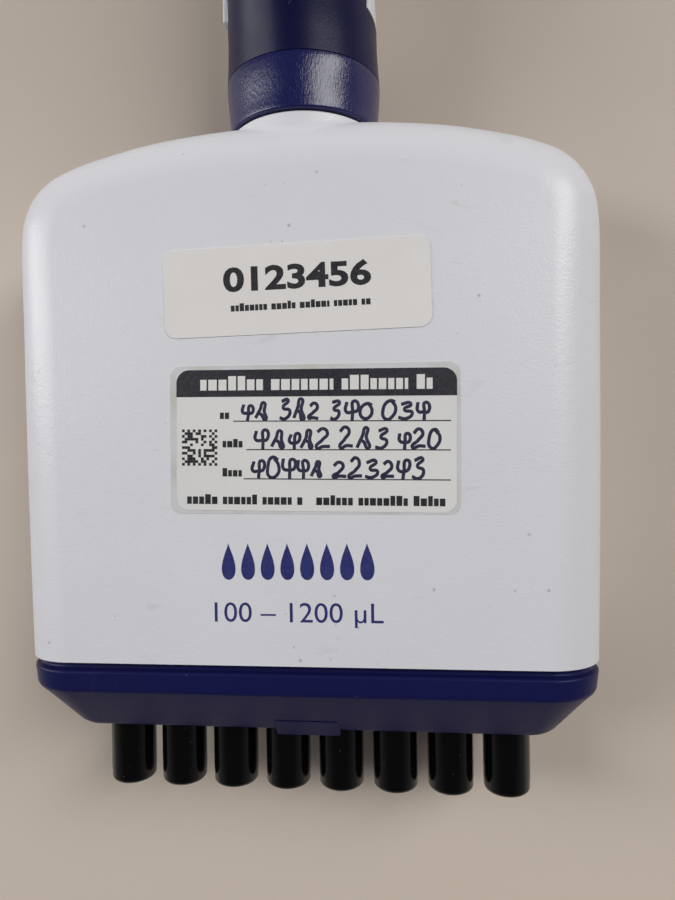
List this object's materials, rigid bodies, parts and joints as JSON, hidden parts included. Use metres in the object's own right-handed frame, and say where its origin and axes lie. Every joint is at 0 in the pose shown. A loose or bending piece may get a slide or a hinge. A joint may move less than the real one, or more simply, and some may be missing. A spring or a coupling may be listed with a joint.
{
  "type": "multichannel pipette",
  "caption": "Hand pipette with a wide flat manifold of tip nozzles, an ejector skirt, a turning neck and a slim handle with plunger, volume knob and finger hook.",
  "frame": {"origin": "middle of the manifold's flat rear face, which the pipette lies on", "axes": "+X across the channels, +Y up the tool's axis from nozzles to plunger, +Z out of the manifold's front face"},
  "size_m": [0.0912, 0.2751, 0.0526],
  "materials": {
    "white_plastic": "satin moulded, fine grain",
    "navy_plastic": "satin moulded, fine grain",
    "black_plastic": "glossy",
    "grey_plastic": "satin",
    "counter_plastic": "satin",
    "window_clear": "clear",
    "seal_rubber": "matte",
    "steel": "ground"
  },
  "bodies": {
    "manifold": {"front_cover": "white_plastic", "rear_cover": "white_plastic", "cover_screw_1": "steel", "cover_screw_2": "steel", "cover_screw_3": "steel", "cover_screw_4": "steel", "neck_tube": "white_plastic", "nozzle_plate": "navy_plastic", "nozzle_gasket": "seal_rubber", "cylinder_block": "grey_plastic", "seal_strip": "seal_rubber", "seal_retainer": "steel", "nozzle_1": "black_plastic", "nozzle_2": "black_plastic", "nozzle_3": "black_plastic", "nozzle_4": "black_plastic", "nozzle_5": "black_plastic", "nozzle_6": "black_plastic", "nozzle_7": "black_plastic", "nozzle_8": "black_plastic"},
    "carriage": {"piston_carriage": "grey_plastic", "piston_1": "steel", "piston_2": "steel", "piston_3": "steel", "piston_4": "steel", "piston_5": "steel", "piston_6": "steel", "piston_7": "steel", "piston_8": "steel"},
    "lower_ejector": {"ejector_skirt": "navy_plastic", "ejector_yoke": "grey_plastic", "ejector_rod_left": "steel", "ejector_rod_right": "steel", "ejector_spring_left": "steel", "ejector_spring_right": "steel"},
    "handle": {"swivel_collar": "navy_plastic", "handle_grip": "navy_plastic", "handle_shell": "white_plastic", "handle_cap": "navy_plastic", "finger_hook": "navy_plastic", "display_window": "window_clear", "counter_sleeve": "grey_plastic", "spring_seat": "grey_plastic"},
    "plunger": {"plunger_rod": "steel", "plunger_button": "navy_plastic", "button_insert": "counter_plastic", "return_spring": "steel"},
    "upper_ejector": {"ejector_button": "navy_plastic", "ejector_arm": "white_plastic", "ejector_sleeve": "grey_plastic"},
    "knob": {"volume_knob": "navy_plastic", "volume_spindle": "steel"},
    "lock_lever": {"volume_lock_lever": "grey_plastic"},
    "drum_1": {"counter_drum_1": "counter_plastic"},
    "drum_2": {"counter_drum_2": "counter_plastic"},
    "drum_3": {"counter_drum_3": "counter_plastic"}
  },
  "joints": [
    {"name": "handle_swivel", "type": "hinge", "parent": "manifold", "child": "handle", "pos_m": [0, 0.06, 0.0146], "axis": [0, 1, 0], "continuous": true},
    {"name": "plunger_press", "type": "slide", "parent": "handle", "child": "plunger", "axis": [0, -1, 0], "range_m": [0, 0.022], "stiffness_N_per_m": 200, "springref_m": -0.015, "deforming": ["return_spring"]},
    {"name": "carriage_slide", "type": "slide", "parent": "manifold", "child": "carriage", "axis": [0, -1, 0], "range_m": [0, 0.022]},
    {"name": "ejector_press", "type": "slide", "parent": "handle", "child": "upper_ejector", "axis": [0, -1, 0], "range_m": [0, 0.008]},
    {"name": "skirt_slide", "type": "slide", "parent": "manifold", "child": "lower_ejector", "axis": [0, -1, 0], "range_m": [0, 0.008], "stiffness_N_per_m": 400, "springref_m": -0.008, "deforming": ["ejector_spring_left", "ejector_spring_right"]},
    {"name": "volume_turn", "type": "hinge", "parent": "handle", "child": "knob", "pos_m": [0, 0.06, 0.0146], "axis": [0, 1, 0], "range_deg": [-1980, 1980]},
    {"name": "units_drum_turn", "type": "hinge", "parent": "handle", "child": "drum_1", "pos_m": [0, 0.06, 0.0146], "axis": [0, 1, 0], "range_deg": [-1980, 1980]},
    {"name": "tens_drum_turn", "type": "hinge", "parent": "handle", "child": "drum_2", "pos_m": [0, 0.06, 0.0146], "axis": [0, 1, 0], "range_deg": [-198, 198]},
    {"name": "hundreds_drum_turn", "type": "hinge", "parent": "handle", "child": "drum_3", "pos_m": [0, 0.06, 0.0146], "axis": [0, 1, 0], "range_deg": [-19.8, 19.8]},
    {"name": "lock_lever_turn", "type": "hinge", "parent": "handle", "child": "lock_lever", "pos_m": [0, 0.06, 0.0146], "axis": [0, 1, 0], "range_deg": [0, 40]}
  ],
  "couplings": [
    {"joint": "carriage_slide", "follows": "plunger_press", "ratio": 1},
    {"joint": "skirt_slide", "follows": "ejector_press", "ratio": 1},
    {"joint": "units_drum_turn", "follows": "volume_turn", "ratio": 1},
    {"joint": "tens_drum_turn", "follows": "volume_turn", "ratio": 0.1},
    {"joint": "hundreds_drum_turn", "follows": "volume_turn", "ratio": 0.01}
  ]
}
